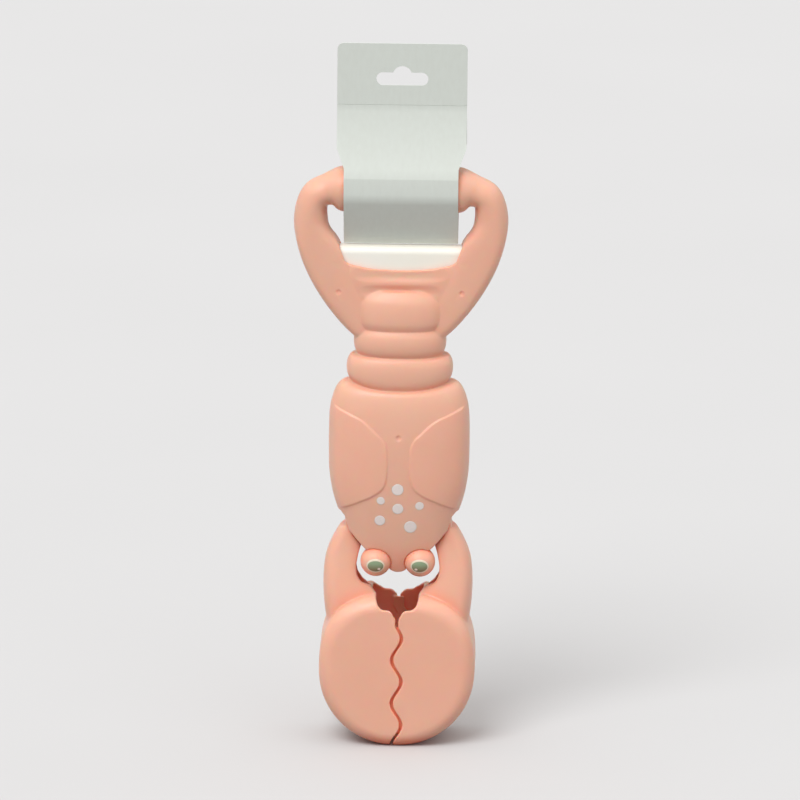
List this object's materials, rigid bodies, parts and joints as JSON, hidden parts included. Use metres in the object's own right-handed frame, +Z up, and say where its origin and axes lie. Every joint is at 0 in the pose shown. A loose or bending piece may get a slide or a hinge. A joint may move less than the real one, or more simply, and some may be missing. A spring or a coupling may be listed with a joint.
{
  "type": "sand claw",
  "caption": "Lobster-shaped toy sand claw: a trigger in its tail-fan handle pushes a rod that swings the hollow scoop claws open, a spring shuts them, and a blank card tag wraps the grip.",
  "frame": {"origin": "centre of the bounding box on the ground plane that the claws stand on", "axes": "+Z up along the body, -Y the way the eyes look, +X to the viewer's right when facing the eyes"},
  "size_m": [0.1324, 0.054, 0.4431],
  "materials": {
    "pink_plastic": "satin",
    "cream_plastic": "satin",
    "steel": "bright",
    "card": "uncoated card"
  },
  "bodies": {
    "body": {"front_shell": "pink_plastic", "back_shell": "pink_plastic", "case_screws": "steel", "left_eye": "pink_plastic", "right_eye": "pink_plastic", "left_pivot_pin": "steel", "right_pivot_pin": "steel", "rod_guide": "cream_plastic", "return_spring": "steel", "hang_tag": "card"},
    "trigger": {"trigger": "cream_plastic", "push_rod": "cream_plastic", "crosshead": "cream_plastic", "rod_pin": "steel", "trigger_pin": "steel", "spring_collar": "steel"},
    "left_claw": {"left_claw": "pink_plastic", "left_lever_pin": "steel", "left_pivot_bushes": "cream_plastic"},
    "right_claw": {"right_claw": "pink_plastic", "right_lever_pin": "steel", "right_pivot_bushes": "cream_plastic"}
  },
  "joints": [
    {"name": "right_claw_hinge", "type": "hinge", "parent": "body", "child": "right_claw", "pos_m": [0.026, 0, 0.1405], "axis": [0, -1, 0], "range_deg": [0, 23.07]},
    {"name": "left_claw_hinge", "type": "hinge", "parent": "body", "child": "left_claw", "pos_m": [-0.026, 0, 0.1405], "axis": [0, 1, 0], "range_deg": [0, 23.1]},
    {"name": "trigger_slide", "type": "slide", "parent": "body", "child": "trigger", "axis": [0, 0, -1], "range_m": [0, 0.008], "stiffness_N_per_m": 300, "springref_m": -0.01, "deforming": ["return_spring"]}
  ],
  "couplings": [
    {"joint": "left_claw_hinge", "follows": "right_claw_hinge", "ratio": 1},
    {"joint": "trigger_slide", "follows": "right_claw_hinge", "m_per_rad": 0.019865}
  ]
}
